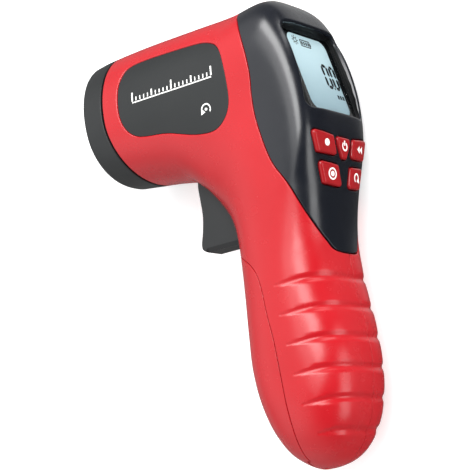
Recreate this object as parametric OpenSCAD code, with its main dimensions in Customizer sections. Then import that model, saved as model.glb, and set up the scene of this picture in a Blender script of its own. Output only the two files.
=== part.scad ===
// Hand-held laser tachometer in pistol form, lying on its right flank.
// Working axes inside place(): x from nose to display, y up the barrel side,
// z out of the left flank, with the parting plane at z = 0.

/* [Body] */
// Full width across the two flanks
body_w = 43; // [42:0.5:44]
// Wall thickness of the mouldings
wall = 2.2; // [2:0.1:2.4]
// Gap at the seams between mouldings
seam = 0.3; // [0.2:0.05:0.4]
// Depth of the finger grooves behind the grip
groove_d = 1; // [0.4:0.1:1.2]

/* [Display] */
// Width of the visible display
lcd_w = 24.4; // [22:0.2:24.6]
// Height of the visible display
lcd_h = 28.2; // [26:0.2:28.2]
// Lean of the display plane
lcd_lean = 13.3; // [13:0.1:13.6]

/* [Keys] */
// Height of the keys above the face
key_rise = 0.9; // [0.6:0.1:1.2]
// Press travel of a key
key_travel = 0.7; // [0.4:0.1:0.7]

/* [Trigger] */
// Width of the trigger
trigger_w = 10; // [9:0.5:10]
// Radius of the trigger pin
trigger_pin_r = 1.5; // [1.2:0.1:1.5]

/* [Battery door] */
// Radius of the hinge pin
hinge_pin_r = 0.7; // [0.6:0.05:0.75]

/* [Hidden] */
red = [0.80, 0.10, 0.13];
black = [0.13, 0.14, 0.15];
dark = [0.22, 0.23, 0.24];
hw = body_w / 2;
cx = 1.55;
cy = -4.9;
// Stations of the body: inner edge x y, outer edge x y, half width as a share
// of the full half width, place of the widest line, and the squareness of the
// inner and the outer end.
K = [
  [-38.6, 25.5, -42.6, 70.8, 0.967, 0.42, 2.2, 2.0],
  [-31.5, 24.6, -35.6, 71.6, 1.000, 0.42, 2.2, 2.0],
  [-20.0, 23.0, -20.0, 72.0, 1.000, 0.43, 2.2, 2.1],
  [-11.0, 20.6,   0.0, 71.8, 1.000, 0.45, 2.1, 2.2],
  [ -5.2, 15.8,  18.6, 71.2, 1.000, 0.48, 2.1, 2.5],
  [ -1.2, 10.6,  35.0, 70.0, 1.000, 0.50, 2.1, 3.8],
  [  1.8,  6.0,  42.2, 58.5, 1.000, 0.52, 2.1, 5.0],
  [  3.9,  1.8,  46.1, 42.4, 1.000, 0.52, 2.1, 5.2],
  [  5.2, -3.0,  46.7, 26.0, 0.986, 0.52, 2.1, 4.4],
  [  5.6, -8.6,  44.7,  9.0, 0.958, 0.52, 2.1, 2.7],
  [  5.6,-16.0,  42.3, -8.0, 0.949, 0.52, 2.1, 2.2],
  [  5.4,-25.0,  42.8,-24.0, 0.967, 0.50, 2.1, 2.1],
  [  4.9,-36.0,  44.4,-38.0, 0.991, 0.48, 2.1, 2.1],
  [  4.6,-47.5,  44.6,-52.5, 1.000, 0.48, 2.1, 2.1],
  [  6.2,-58.8,  42.2,-65.0, 0.958, 0.49, 2.1, 2.1],
  [  9.4,-69.0,  37.6,-74.4, 0.791, 0.50, 2.1, 2.1],
  [ 14.2,-77.0,  31.6,-80.0, 0.493, 0.50, 2.0, 2.0],
  [ 22.6,-81.8,  23.0,-81.8, 0.001, 0.50, 2.0, 2.0]];
nk = len(K) - 1;
// Mirror image of the last station but one, which rounds the foot of the grip
foot = [for (j = [0:7]) j == 1 || j == 3 ? K[nk - 1][j] : 2 * K[nk][j] - K[nk - 1][j]];
NP = 40;
TS = concat([0, 0.4, 0.8], [for (t = [1.2:0.4:10.4]) t],
  [for (t = [10.55:0.14:15.2]) t], [15.35, 15.6, 15.85, 16.1, 16.35, 16.55, 16.75, 16.9, 16.97]);
TI = concat([-0.5, 0], [for (t = [0.6:0.6:15.6]) t], [16, 16.25]);
TK = [for (t = [6:0.25:11.5]) t];
// Side-view seam of the display housing, from the top of the barrel to its tip
S_HOUSING = [[20.4, 76], [21.9, 69.4], [25.2, 62.6], [27.4, 54], [28.4, 45.2],
  [28.0, 37], [28.5, 28.4], [31.3, 15.6], [35.5, 6.9], [38.2, -3], [40.4, -11.4],
  [42.1, -15.7], [47, -17.4]];
// Side-view seam of the battery door, from the front of the grip to its foot
S_DOOR = [[-4, -8.2], [5, -8.8], [12, -12.1], [17.6, -16.6], [20.2, -22.6], [21.6, -33],
  [23, -42], [23.7, -56], [23.5, -67], [22.8, -74.2], [22.2, -79.2], [22.2, -84]];
// Side-view outline of the flank label
S_LABEL = [[-25.6, 51], [-24.6, 59], [-19.6, 62.8], [0, 62.4], [11, 60.9], [17.2, 56],
  [19, 44], [18, 35.6], [12.6, 30.9], [4, 31.2], [-8, 34.8], [-19.6, 36.8], [-24.4, 42]];
PIVOT = [-1, 25.6];
HINGE = [22.4, -80.3];
LCD_O = [41.45, 44.5];
KEY_O = [44.9, 13.9];
KEY_LEAN = -8;
NOSE_O = [-40.6, 48.15];
NOSE_LEAN = 5.05;
// Key outlines on the face, across and up
KEY_A = [[5.9, 7.8], [16.3, 8.8], [13.9, 1.5], [4.3, 1.2]];
KEY_P = [[4.1, 7.7], [-4.1, 7.7], [-3.3, 4.4], [-1.3, 0.5], [1.3, 0.5], [3.3, 4.4]];
KEY_B = [[3.8, -1.6], [13, -0.95], [10.8, -8.25], [1.95, -8.85]];
// Case screw places in side view
BOSS = [[-17, 65], [-21, 29.2], [14, 64], [35.6, -9.4], [35.6, -60]];

// Curve through points p, k steps between each pair
function cr(a, b, c, d, u) = 0.5 * (2 * b + (c - a) * u + (2 * a - 5 * b + 4 * c - d) * u * u
  + (3 * b - a - 3 * c + d) * u * u * u);
function curve(p, k) = let (n = len(p) - 1) concat([for (i = [0:n - 1], s = [0:k - 1])
  cr(p[max(i - 1, 0)], p[i], p[i + 1], p[min(i + 2, n)], s / k)], [p[n]]);
function loop_curve(p, k) = let (n = len(p)) [for (i = [0:n - 1], s = [0:k - 1])
  cr(p[(i + n - 1) % n], p[i], p[(i + 1) % n], p[(i + 2) % n], s / k)];
// Station at any place along the body
function stn(t) = let (i = min(max(floor(t), 0), nk - 1), b = K[i], c = K[i + 1],
  a = i == 0 ? 2 * b - c : K[i - 1], d = i == nk - 1 ? foot : K[i + 2]) cr(a, b, c, d, t - i);
function ease(x) = let (u = min(max(x, 0), 1)) u * u * (3 - 2 * u);
// Depth of the finger grooves at height y and section angle ph
function groove(y, ph) = let (k = (-24 - y) / 9.6, r = min(max(round(k), 0), 5), d = abs(k - r) * 9.6,
  a = abs(ph > 180 ? 360 - ph : ph))
  d > 4.8 ? 0 : groove_d * ease((a - 92) / 40) * pow(1 - d / 4.8, 2.2);
// Point on the body at place t and section angle ph, sunk by off
function pt(t, ph, off) = let (q = stn(t), ix = q[0], iy = q[1], dx = q[2] - q[0], dy = q[3] - q[1],
  l = max(norm([dx, dy]), 0.001), c = cos(ph), s = sin(ph), n = c > 0 ? q[6] : q[7],
  r = pow(pow(abs(c), n) + pow(abs(s), n), -1 / n), mid = q[5] * l,
  y0 = iy + dy / l * (mid - (c > 0 ? mid : l - mid) * r * c),
  o = off + (off == 0 ? groove(y0, ph) : 0),
  a = max((c > 0 ? mid : l - mid) - o, 0.1), u = mid - a * r * c)
  [ix + dx / l * u, iy + dy / l * u, max(q[4] * hw - o, 0.1) * r * s];
function skin(nr, n) = concat([[for (j = [n - 1:-1:0]) j]],
  [for (i = [0:nr - 2], j = [0:n - 1]) let (a = i * n + j, b = i * n + (j + 1) % n)
    each [[a, b, b + n], [a, b + n, a + n]]],
  [[for (j = [0:n - 1]) (nr - 1) * n + j]]);

module place() translate([-cx, -cy, hw + 0.05]) children();
module body(ts, off, n) polyhedron([for (t = ts, j = [0:n - 1]) pt(t, 360 * j / n, off)], skin(len(ts), n));
module outer_body() body(TS, 0, NP);
module inner_body() body(TI, wall, 28);
module side_prism(h = 70) linear_extrude(h, center = true) children();
module housing_side(d) side_prism() offset(delta = d) polygon(concat(curve(S_HOUSING, 4), [[70, -22], [70, 90], [20, 90]]));
module door_side(d) side_prism() offset(delta = d) polygon(concat(curve(S_DOOR, 4), [[-20, -90], [-20, -12]]));
module lcd_frame() translate(concat(LCD_O, 0)) rotate([0, 0, lcd_lean]) children();
module key_frame() translate(concat(KEY_O, 0)) rotate([0, 0, KEY_LEAN]) children();
module nose_frame() translate(concat(NOSE_O, 0)) rotate([0, 0, NOSE_LEAN]) children();
// Turns a flat drawing of across and up into a plate of depth a to b off the face
module on_face(a, b) translate([a, 0, 0]) rotate([0, 90, 0]) linear_extrude(b - a) mirror([1, 0]) children();
// Front edge of the shells behind the nose bezel
function nose_t(ph, g) = 1.10 + 0.24 * pow(max(cos(ph), 0), 1.5) + 0.1 * pow(max(-cos(ph), 0), 2) + g / 9;
module nose_block(g) {
  n = 40;
  t0 = [for (j = [0:n - 1]) pt(-1.2, 360 * j / n, -4)];
  t1 = [for (j = [0:n - 1]) pt(nose_t(360 * j / n, g), 360 * j / n, -4)];
  t2 = [for (j = [0:n - 1]) pt(nose_t(360 * j / n, g), 360 * j / n, 12)];
  t3 = [for (j = [0:n - 1]) pt(-1.2, 360 * j / n, 12)];
  r = [t0, t1, t2, t3];
  polyhedron([for (q = r) each q], [for (i = [0:3], j = [0:n - 1])
    let (a = i * n + j, b = i * n + (j + 1) % n, c = ((i + 1) % 4) * n + (j + 1) % n, d = ((i + 1) % 4) * n + j)
    each [[a, b, c], [a, c, d]]]);
}
module rounded(w, h, r) hull() for (x = [-w / 2 + r, w / 2 - r], y = [-h / 2 + r, h / 2 - r]) translate([x, y]) circle(r, $fn = 32);
module key_shape(p, d) offset(r = 1.1 + d, $fn = 24) offset(delta = -1.1) polygon(p);
module trigger_gap() side_prism(trigger_w + 0.9) polygon([[-10.4, 16], [-10.4, 25], [-7, 31.5], [4, 31.5], [9, 20], [12.6, 4], [12.6, -6.2], [-4, -6.2]]);

module shell_half(s) {
  difference() {
    union() {
      intersection() {
        difference() { outer_body(); inner_body(); }
        translate([-80, -100, s > 0 ? 0.08 : -40.08]) cube([160, 200, 40]);
      }
      intersection() {
        body(TI, 0.6, 28);
        union() {
          for (b = BOSS) hull() {
            translate([b[0], b[1], s > 0 ? 0.15 : -0.15 - 8]) cylinder(r = 3.1, h = 8, $fn = 24);
            translate([b[0], b[1], s > 0 ? 20 : -22]) cylinder(r = 3.6, h = 2, $fn = 24);
          }
          hull() {
            translate([PIVOT[0], PIVOT[1], s > 0 ? 5.7 : -9.7]) cylinder(r = 3, h = 4, $fn = 24);
            translate([PIVOT[0], PIVOT[1], s > 0 ? 20 : -22]) cylinder(r = 3.6, h = 2, $fn = 24);
          }
          hull() {
            translate([16.4, 0, s > 0 ? 0.15 : -3.15]) cube([1.6, 5, 3]);
            translate([16.4, 0, s > 0 ? 20 : -22]) cube([2.4, 6, 2]);
          }
          for (y = [-60, -28]) hull() {
            translate([31.6, y, s > 0 ? 6 : -8]) cube([1.4, 1.6, 2]);
            translate([38, y, s > 0 ? 18 : -20]) cube([5, 1.8, 2]);
          }
        }
      }
      intersection() {
        outer_body();
        hull() {
          translate([HINGE[0], HINGE[1], s > 0 ? 3.25 : -9.1]) cylinder(r = 1.5, h = 5.85, $fn = 32);
          translate([HINGE[0] + 1.5, HINGE[1] - 0.6, s > 0 ? 3.25 : -9.1]) cube([1.6, 2.1, 5.85]);
        }
      }
    }
    nose_block(seam);
    housing_side(seam / 2);
    difference() {
      door_side(seam / 2);
      for (z = [3.25, -9.1]) translate([HINGE[0], HINGE[1], z]) cylinder(r = 1.51, h = 5.85, $fn = 32);
    }
    trigger_gap();
    translate([HINGE[0], HINGE[1], -3.15]) cylinder(r = 1.85, h = 6.3, $fn = 32);
    translate([HINGE[0], HINGE[1], -4.5]) cylinder(r = hinge_pin_r + 0.05, h = 9, $fn = 48);
    translate([PIVOT[0], PIVOT[1], -8.05]) cylinder(r = trigger_pin_r + 0.05, h = 16.1, $fn = 48);
    for (b = BOSS) {
      translate([b[0], b[1], -9.2]) cylinder(r = 1.35, h = 18.4, $fn = 24);
      if (s < 0) translate([b[0], b[1], -30]) cylinder(r = 2.7, h = 22, $fn = 24);
    }
    intersection() {
      difference() { body(TS, -1, 32); body(TI, 0.75, 32); }
      translate([0, 0, s * 40]) side_prism(60) offset(delta = 0.2) polygon(loop_curve(S_LABEL, 4));
    }
  }
}
module shell_left() color(red) place() shell_half(1);
module shell_right() color(red) place() shell_half(-1);

module display_housing() color(black) place() difference() {
  union() {
    intersection() {
      difference() { outer_body(); inner_body(); }
      housing_side(-seam / 2);
    }
    intersection() {
      body(TI, 0.5, 32);
      lcd_frame() on_face(-4.9, 4) translate([0, 0.6]) rounded(34, 34.6, 4);
      housing_side(-seam / 2 - 1);
    }
  }
  // pocket that takes the window and the panel, and the opening behind them
  lcd_frame() on_face(-2.9, 12) translate([0, 0.7]) rounded(29.6, 30.2, 2.4);
  lcd_frame() hull() {
    on_face(0.9, 1) translate([0, 0.65]) rounded(29.1, 29.7, 2.1);
    on_face(3.1, 11) translate([0, 0.45]) rounded(32.3, 30.9, 2.9);
  }
  lcd_frame() on_face(-12, 4) rounded(lcd_w - 2.4, lcd_h - 3, 3);
  key_frame() for (m = [0, 1]) mirror([0, 0, m]) {
    on_face(-8, 12) hull() key_shape(KEY_A, 0.35);
    on_face(-8, 12) hull() key_shape(KEY_B, 0.35);
  }
  key_frame() on_face(-8, 12) hull() key_shape(KEY_P, 0.35);
}

module door_shape() {
  difference() {
    union() {
      intersection() {
        difference() { outer_body(); inner_body(); }
        door_side(-seam / 2);
      }
      intersection() {
        body(TI, 0.6, 28);
        door_side(-seam / 2);
        union() {
          for (y = [-66, -56, -46, -36, -26]) hull() {
            translate([5, y, -15]) cube([7.6, 1.4, 30]);
            translate([5, y, -17]) cube([3, 1.4, 34]);
          }
          for (z = [-9, 6]) hull() {
            translate([9, -13.8, z]) cube([1.6, 5, 3]);
            translate([6, -20, z]) cube([3, 2, 3]);
          }
        }
      }
    }
    for (z = [3.1, -9.3]) translate([HINGE[0], HINGE[1], z]) cylinder(r = 1.85, h = 6.2, $fn = 32);
  }
  intersection() {
    outer_body();
    hull() {
      translate([HINGE[0], HINGE[1], -3]) cylinder(r = 1.5, h = 6, $fn = 32);
      translate([HINGE[0] - 3, HINGE[1] - 0.5, -3]) cube([1.6, 2, 6]);
    }
  }
}
module battery_door() color(red) place() difference() {
  door_shape();
  translate([HINGE[0], HINGE[1], -4.5]) cylinder(r = hinge_pin_r + 0.05, h = 9, $fn = 48);
}

module nose_bezel() color(dark) place() {
  n = 48;
  // sweep of rows: seam edge, flank, rounded lip, throat and back edge
  rows = [[1, -seam, 0], [0.75, 0, 0], [0.5, 0, 0], [0.25, 0, 0], [0.05, 0, 0], [-0.08, 0, 0.35], [-0.16, 0, 1],
    [-0.2, 0, 1.9], [-0.2, 0, 2.6], [-0.12, 0, 3.1], [0.5, 0, 3.3], [1, -seam, 3.3]];
  nr = len(rows);
  polyhedron([for (r = rows, j = [0:n - 1]) let (ph = 360 * j / n, e = nose_t(ph, -seam))
      pt(r[0] > 0.3 ? e * r[0] : r[0], ph, r[2] == 0 ? 0 : r[2])],
    [for (i = [0:nr - 1], j = [0:n - 1]) let (k = (i + 1) % nr, a = i * n + j, b = i * n + (j + 1) % n,
      c = k * n + (j + 1) % n, d = k * n + j) each [[a, c, b], [a, d, c]]]);
}
module nose_outline(off) polygon([for (j = [0:47]) let (p = pt(0.5, 360 * j / 48, off), d = [p[0], p[1]] - NOSE_O)
  [p[2], -d[0] * sin(NOSE_LEAN) + d[1] * cos(NOSE_LEAN)]]);
module nose_plate() color(black) place() nose_frame() difference() {
  on_face(2.6, 4.6) nose_outline(3.5);
  translate([0, -5, 0]) rotate([0, 90, 0]) cylinder(r = 10.3, h = 20, center = true, $fn = 64);
  translate([0, 12.5, 0]) rotate([0, 90, 0]) cylinder(r = 3.2, h = 20, center = true, $fn = 48);
}
module lens_ring() color(dark) place() nose_frame() translate([1.6, -5, 0]) rotate([0, 90, 0]) difference() {
  cylinder(r = 10.2, h = 4, $fn = 64);
  translate([0, 0, -1]) cylinder(r = 8.6, h = 6, $fn = 64);
}
module receiver_lens() color([0.75, 0.86, 0.92, 0.5]) place() nose_frame() translate([2.4, -5, 0]) rotate([0, 90, 0]) intersection() {
  cylinder(r = 8.5, h = 3.1, $fn = 64);
  translate([0, 0, 20]) sphere(r = 20, $fn = 96);
}
module optics_tube() color(black) place() nose_frame() translate([6, -5, 0]) rotate([0, 90, 0]) difference() {
  cylinder(r = 9.6, h = 22, $fn = 64);
  translate([0, 0, -1]) cylinder(r = 8.2, h = 21, $fn = 64);
  cylinder(r = 2.7, h = 40, $fn = 48);
}
module photodiode() color([0.15, 0.16, 0.2]) place() nose_frame() translate([24, -5, 0]) rotate([0, 90, 0]) {
  cylinder(r = 2.5, h = 5.8, $fn = 48);
  translate([0, 0, -0.8]) cylinder(r = 2, h = 1, $fn = 48);
}
module laser_module() color([0.72, 0.55, 0.25]) place() nose_frame() translate([3.4, 12.5, 0]) rotate([0, 90, 0]) difference() {
  union() { cylinder(r = 3, h = 13, $fn = 48); translate([0, 0, 3]) cylinder(r = 3.6, h = 1.5, $fn = 48); }
  translate([0, 0, -1]) cylinder(r = 2, h = 4, $fn = 48);
}
module laser_window() color([0.9, 0.4, 0.4, 0.5]) place() nose_frame() translate([3.6, 12.5, 0]) rotate([0, 90, 0]) cylinder(r = 1.95, h = 0.8, $fn = 48);
module sensor_board() color([0.05, 0.35, 0.18]) place() nose_frame() difference() {
  translate([30, -16, -12]) cube([1.6, 25, 24]);
  translate([0, -15, -10.5]) rotate([0, 90, 0]) cylinder(r = 1.2, h = 60, $fn = 24);
  translate([0, -15, 10.5]) rotate([0, 90, 0]) cylinder(r = 1.2, h = 60, $fn = 24);
}

module display_window() color([0.75, 0.88, 0.95, 0.5]) place() lcd_frame() on_face(-0.5, 0) translate([0, 0.7]) rounded(29, 29.6, 2.1);
module lcd_panel() color([0.66, 0.79, 0.82]) place() lcd_frame() translate([-2.8, -lcd_h / 2, -lcd_w / 2 - 0.9]) cube([2.2, lcd_h + 0.3, lcd_w + 1.8]);
module backlight() color([0.93, 0.95, 0.95]) place() lcd_frame() translate([-6.9, -9.4, -13]) cube([1.8, 24.4, 26]);
module zebra_strip() color([0.4, 0.4, 0.42]) place() translate([28.6, 31.6, -9]) cube([12.1, 2, 18]);
module main_board() color([0.05, 0.35, 0.18]) place() difference() {
  translate([26.8, 10, -15]) cube([1.6, 50, 30]);
  for (y = [13, 57], z = [-12.6, 12.6]) translate([20, y, z]) rotate([0, 90, 0]) cylinder(r = 1.2, h = 20, $fn = 24);
}
module controller_chip() color([0.1, 0.1, 0.11]) place() translate([24.6, 30, -6]) cube([2, 12, 12]);
module crystal() color([0.8, 0.8, 0.82]) place() translate([26.7, 48, 5]) rotate([0, -90, 0]) hull() for (y = [-3, 3]) translate([0, y, 0]) cylinder(r = 2, h = 3.4, $fn = 32);
module buzzer() color([0.12, 0.12, 0.13]) place() translate([26.7, 21, 0]) rotate([0, -90, 0]) difference() {
  cylinder(r = 6, h = 6.5, $fn = 64);
  translate([0, 0, 5]) cylinder(r = 1.2, h = 4, $fn = 32);
}
module board_screws() color([0.75, 0.75, 0.72]) place() {
  for (y = [13, 57], z = [-12.6, 12.6]) translate([26.7, y, z]) rotate([0, -90, 0]) {
    cylinder(r = 2, h = 1.4, $fn = 32);
    translate([0, 0, -2.5]) cylinder(r = 1, h = 3, $fn = 32);
  }
}
module key_board() color([0.05, 0.35, 0.18]) place() key_frame() translate([-9.7, -9.6, -15]) cube([1.4, 19, 30]);
module key_mat() color([0.25, 0.25, 0.27]) place() key_frame() {
  translate([-8.2, -9, -14.6]) cube([1, 18, 29.2]);
}

// A key: cap through the face with a hidden lip that holds it in
module key_cap(p, m) {
  intersection() {
    key_frame() mirror([0, 0, m]) on_face(-5.3, 4) key_shape(p, 0);
    body(TK, -key_rise, 72);
  }
  key_frame() mirror([0, 0, m]) on_face(-6.3, -5.2) key_shape(p, 0.6);
}
module key_laser() color(red) place() key_cap(KEY_A, 0);
module key_mode() color(red) place() key_cap(KEY_A, 1);
module key_power() color(red) place() key_cap(KEY_P, 0);
module key_store() color(red) place() key_cap(KEY_B, 0);
module key_recall() color(red) place() key_cap(KEY_B, 1);

// Thin curved plate let into the flank
module label_plate(s) intersection() {
  difference() { body(TS, 0.06, 32); body(TI, 0.6, 32); }
  translate([0, 0, s * 30]) linear_extrude(58, center = true) {
    p = loop_curve(S_LABEL, 4);
    for (i = [0:4:len(p) - 1]) hull() polygon([[-2, 47], p[i], p[i + 1], p[i + 2], p[i + 3], p[(i + 4) % len(p)]]);
  }
}
module label_left() color(dark) place() label_plate(1);
module label_right() color(dark) place() label_plate(-1);

// Trigger blade: finger curve in front, arm up to the pin
T_FRONT = [[-8.6, 21.4], [-9.1, 18], [-8.9, 13], [-8.8, 8], [-9.6, 3], [-10.7, -1.2], [-10.5, -3.2], [-9, -4.3]];
module trigger() color(dark) place() difference() {
  linear_extrude(trigger_w, center = true) polygon(concat(curve(T_FRONT, 4),
    [[6.6, -4.3], [7.2, -3.6], [6.8, 1], [5, 10], [3.6, 17], [3.4, 25.6]],
    [for (a = [15:15:165]) [PIVOT[0] + 4.4 * cos(a), PIVOT[1] + 4.4 * sin(a)]],
    [[-5.4, 25.6]]));
  translate([PIVOT[0], PIVOT[1], -20]) cylinder(r = trigger_pin_r + 0.05, h = 40, $fn = 48);
}
module trigger_pin() color([0.78, 0.78, 0.8]) place() translate([PIVOT[0], PIVOT[1], -8]) cylinder(r = trigger_pin_r, h = 16, $fn = 48);
module trigger_spring() color([0.8, 0.8, 0.82]) place() {
  m = 72;
  n = 6;
  polyhedron([for (i = [0:m], j = [0:n - 1]) let (a = i * 30, b = 360 * j / n, r = 2 + 0.35 * cos(b))
      [7.4 + 0.35 + 8 * i / m + 0.35 * sin(b), 2.4 + r * cos(a), r * sin(a)]],
    concat([[for (j = [n - 1:-1:0]) j]],
      [for (i = [0:m - 1], j = [0:n - 1]) let (a = i * n + j, b = i * n + (j + 1) % n) each [[a, b, b + n], [a, b + n, a + n]]],
      [[for (j = [0:n - 1]) m * n + j]]));
}
module trigger_switch() color([0.14, 0.14, 0.15]) place() {
  translate([9, 10, -3]) cube([4, 6, 6]);
  translate([7.6, 13, 0]) rotate([0, 90, 0]) cylinder(r = 1.5, h = 2, $fn = 32);
}
module switch_board() color([0.05, 0.35, 0.18]) place() translate([13.1, 7.4, -7]) cube([1.4, 11, 14]);

module hinge_pin() color([0.78, 0.78, 0.8]) place() translate([HINGE[0], HINGE[1], -4.4]) cylinder(r = hinge_pin_r, h = 8.8, $fn = 48);

module battery() color([0.2, 0.22, 0.25]) place() translate([22, 0, 0]) {
  translate([0, -17.6, 0]) rotate([90, 0, 0]) linear_extrude(46.4) rounded(17.4, 26.4, 1.6);
  translate([0, -17.7, -6.4]) rotate([-90, 0, 0]) cylinder(r = 2.9, h = 2.1, $fn = 48);
  translate([0, -17.7, 6.4]) rotate([-90, 0, 0]) cylinder(r = 3.9, h = 2.1, $fn = 48);
}
module battery_snap() color([0.08, 0.08, 0.09]) place() translate([22, 0, 0]) difference() {
  translate([0, -12.6, 0]) rotate([90, 0, 0]) linear_extrude(4.8) rounded(12.4, 25.4, 4);
  translate([0, -18, -6.4]) rotate([-90, 0, 0]) cylinder(r = 3, h = 2.8, $fn = 48);
  translate([0, -18, 6.4]) rotate([-90, 0, 0]) cylinder(r = 4, h = 2.8, $fn = 48);
}
// Wire swept along points p
function side(a, b) = let (d = (b - a) / norm(b - a), u = cross(d, [1, 0.3, 0])) u / norm(u);
module wire(p, r) {
  n = 8;
  m = len(p) - 1;
  polyhedron([for (i = [0:m], j = [0:n - 1]) let (a = p[max(i - 1, 0)], b = p[min(i + 1, m)], d = (b - a) / norm(b - a),
      u = side(a, b), v = cross(d, u), g = 360 * j / n) p[i] + r * (u * cos(g) + v * sin(g))],
    concat([[for (j = [0:n - 1]) j]],
      [for (i = [0:m - 1], j = [0:n - 1]) let (a = i * n + j, b = i * n + (j + 1) % n) each [[a, b + n, b], [a, a + n, b + n]]],
      [[for (j = [n - 1:-1:0]) m * n + j]]));
}
LEAD = [[22, -12.5, 4], [22.4, -9.6, 4.2], [24, -5, 6], [25.8, -1, 7], [27, 5, 6.2], [27.6, 9.6, 5.8]];
module lead_positive() color([0.8, 0.1, 0.1]) place() wire(curve(LEAD, 3), 0.7);
module lead_negative() color([0.1, 0.1, 0.1]) place() mirror([0, 0, 1]) wire(curve(LEAD, 3), 0.7);

module case_screws() color([0.7, 0.7, 0.72]) place() for (b = BOSS) translate([b[0], b[1], -7.9]) difference() {
  union() {
    translate([0, 0, -2]) cylinder(r = 2.4, h = 1.9, $fn = 32);
    translate([0, 0, -0.2]) cylinder(r = 1.2, h = 16, $fn = 32);
  }
  for (a = [0, 90]) rotate([0, 0, a]) translate([-1.5, -0.25, -3]) cube([3, 0.5, 2]);
}

shell_left();
shell_right();
display_housing();
battery_door();
nose_bezel();
nose_plate();
receiver_lens();
lens_ring();
laser_module();
laser_window();
optics_tube();
photodiode();
sensor_board();
display_window();
lcd_panel();
backlight();
zebra_strip();
main_board();
controller_chip();
crystal();
buzzer();
key_board();
key_mat();
key_laser();
key_power();
key_mode();
key_store();
key_recall();
label_left();
label_right();
trigger();
trigger_pin();
trigger_spring();
trigger_switch();
switch_board();
hinge_pin();
battery();
battery_snap();
lead_positive();
lead_negative();
case_screws();
board_screws();
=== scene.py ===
import math

import bpy
import numpy as np
from mathutils import Matrix, Vector
from mathutils.geometry import tessellate_polygon


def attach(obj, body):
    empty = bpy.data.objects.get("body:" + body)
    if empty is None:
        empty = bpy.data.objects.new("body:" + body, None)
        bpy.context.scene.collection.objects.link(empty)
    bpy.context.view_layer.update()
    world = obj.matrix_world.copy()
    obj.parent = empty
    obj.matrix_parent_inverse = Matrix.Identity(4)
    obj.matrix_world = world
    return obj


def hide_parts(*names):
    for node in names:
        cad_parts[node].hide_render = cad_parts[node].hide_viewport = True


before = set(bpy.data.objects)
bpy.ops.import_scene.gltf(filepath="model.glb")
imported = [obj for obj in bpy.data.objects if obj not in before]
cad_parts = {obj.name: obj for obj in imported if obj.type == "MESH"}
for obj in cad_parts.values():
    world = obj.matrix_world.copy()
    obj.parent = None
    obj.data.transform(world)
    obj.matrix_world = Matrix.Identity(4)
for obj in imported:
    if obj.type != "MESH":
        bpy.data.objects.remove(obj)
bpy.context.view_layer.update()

# ------------------------------------------------------------------ the body's surface, in millimetres
# x runs from nose to display, y up, z out of the left flank, parting plane at z = 0.
HW, WALL, SEAM = 21.5, 2.2, 0.3
SHIFT = np.array([-1.55, 4.9, 21.55])
K = np.array([
    [-38.6, 25.5, -42.6, 70.8, 0.967, 0.42, 2.2, 2.0], [-31.5, 24.6, -35.6, 71.6, 1, 0.42, 2.2, 2.0],
    [-20, 23, -20, 72, 1, 0.43, 2.2, 2.1], [-11, 20.6, 0, 71.8, 1, 0.45, 2.1, 2.2],
    [-5.2, 15.8, 18.6, 71.2, 1, 0.48, 2.1, 2.5], [-1.2, 10.6, 35, 70, 1, 0.50, 2.1, 3.8],
    [1.8, 6, 42.2, 58.5, 1, 0.52, 2.1, 5.0], [3.9, 1.8, 46.1, 42.4, 1, 0.52, 2.1, 5.2],
    [5.2, -3, 46.7, 26, 0.986, 0.52, 2.1, 4.4], [5.6, -8.6, 44.7, 9, 0.958, 0.52, 2.1, 2.7],
    [5.6, -16, 42.3, -8, 0.949, 0.52, 2.1, 2.2], [5.4, -25, 42.8, -24, 0.967, 0.50, 2.1, 2.1],
    [4.9, -36, 44.4, -38, 0.991, 0.48, 2.1, 2.1], [4.6, -47.5, 44.6, -52.5, 1, 0.48, 2.1, 2.1],
    [6.2, -58.8, 42.2, -65, 0.958, 0.49, 2.1, 2.1], [9.4, -69, 37.6, -74.4, 0.791, 0.50, 2.1, 2.1],
    [14.2, -77, 31.6, -80, 0.493, 0.50, 2.0, 2.0], [22.6, -81.8, 23, -81.8, 0.001, 0.50, 2.0, 2.0]], float)
FOOT = 2 * K[17] - K[16]
FOOT[[1, 3]] = K[16][[1, 3]]
S_HOUSING = [[20.4, 76], [21.9, 69.4], [25.2, 62.6], [27.4, 54], [28.4, 45.2], [28, 37], [28.5, 28.4],
             [31.3, 15.6], [35.5, 6.9], [38.2, -3], [40.4, -11.4], [42.1, -15.7], [47, -17.4]]
S_DOOR = [[-4, -8.2], [5, -8.8], [12, -12.1], [17.6, -16.6], [20.2, -22.6], [21.6, -33], [23, -42],
          [23.7, -56], [23.5, -67], [22.8, -74.2], [22.2, -79.2], [22.2, -84]]
S_LABEL = [[-25.6, 51], [-24.6, 59], [-19.6, 62.8], [0, 62.4], [11, 60.9], [17.2, 56], [19, 44], [18, 35.6],
           [12.6, 30.9], [4, 31.2], [-8, 34.8], [-19.6, 36.8], [-24.4, 42]]
S_SLOT = [[-10.4, 16], [-10.4, 25], [-7, 31.5], [4, 31.5], [9, 20], [12.6, 4], [12.6, -6.2], [-4, -6.2]]
BOSS = [[-17, 65], [-21, 29.2], [14, 64], [35.6, -9.4], [35.6, -60]]
PIVOT, HINGE = (-1, 25.6), (22.4, -80.3)


def row(p):
    return (np.asarray(p, float) + SHIFT) * 0.001


def unit(v):
    v = np.asarray(v, float)
    return v / np.maximum(np.linalg.norm(v, axis=-1, keepdims=True), 1e-9)


def cr(a, b, c, d, u):
    return 0.5 * (2 * b + (c - a) * u + (2 * a - 5 * b + 4 * c - d) * u * u + (3 * b - a - 3 * c + d) * u ** 3)


def curve(p, k):
    p = np.asarray(p, float)
    n = len(p) - 1
    out = [cr(p[max(i - 1, 0)], p[i], p[i + 1], p[min(i + 2, n)], s / k) for i in range(n) for s in range(k)]
    return np.array(out + [p[n]])


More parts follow.
